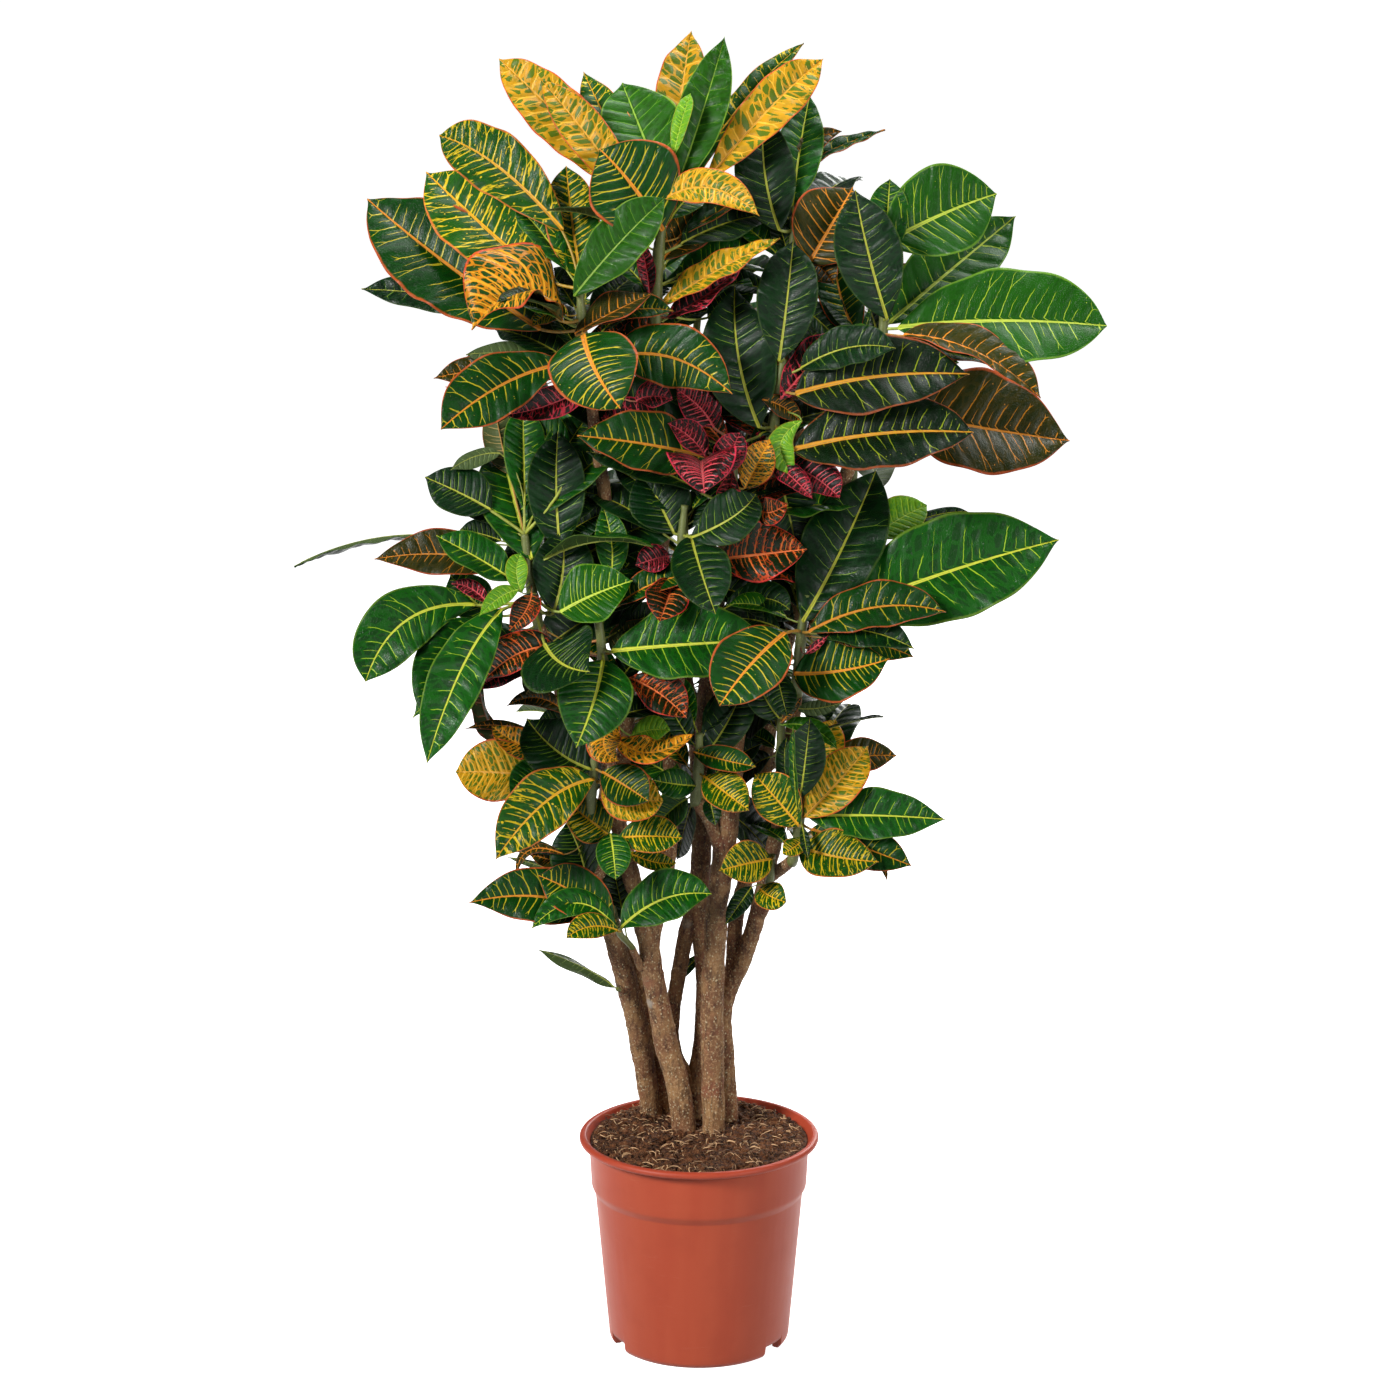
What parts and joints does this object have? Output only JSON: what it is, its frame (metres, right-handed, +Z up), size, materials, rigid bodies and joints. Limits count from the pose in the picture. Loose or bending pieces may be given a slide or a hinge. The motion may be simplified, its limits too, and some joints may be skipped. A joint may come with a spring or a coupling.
{
  "type": "potted croton",
  "caption": "Bushy croton with broad variegated leaves on bare woody stems, growing in soil in a round moulded plastic pot.",
  "frame": {"origin": "centre of the pot's foot, on the surface it stands on", "axes": "+Z up along the pot's axis, -Y towards the side the picture shows, +X to the right seen from there"},
  "size_m": [0.7809, 0.4506, 1.2944],
  "materials": {
    "pot": "satin",
    "soil": "matte",
    "bark": "rough",
    "foliage": "glossy"
  },
  "bodies": {
    "root": {"pot": "pot", "soil": "soil", "stem_left": "bark", "stem_centre_left": "bark", "stem_centre_back": "bark", "stem_front": "bark", "stem_right": "bark", "shoot_top": "foliage", "shoot_upper_left": "foliage", "shoot_upper_right": "foliage", "shoot_between_top_and_right": "foliage", "shoot_dark_right_of_centre": "foliage", "shoot_red_centre": "foliage", "shoot_dark_left_of_centre": "foliage", "shoot_left_middle": "foliage", "shoot_centre_left_lower": "foliage", "shoot_right_middle": "foliage", "shoot_lower_left": "foliage", "shoot_lower_right": "foliage", "shoot_lowest_left": "foliage", "shoot_small_lower_right": "foliage", "shoot_low_centre": "foliage", "shoot_small_right_of_centre": "foliage", "shoot_back_top": "foliage", "shoot_back_left": "foliage", "shoot_back_right": "foliage", "shoot_back_centre": "foliage", "shoot_back_lower_left": "foliage", "shoot_back_lower_right": "foliage", "leaf_low_left": "foliage", "leaf_low_centre": "foliage"}
  },
  "joints": []
}
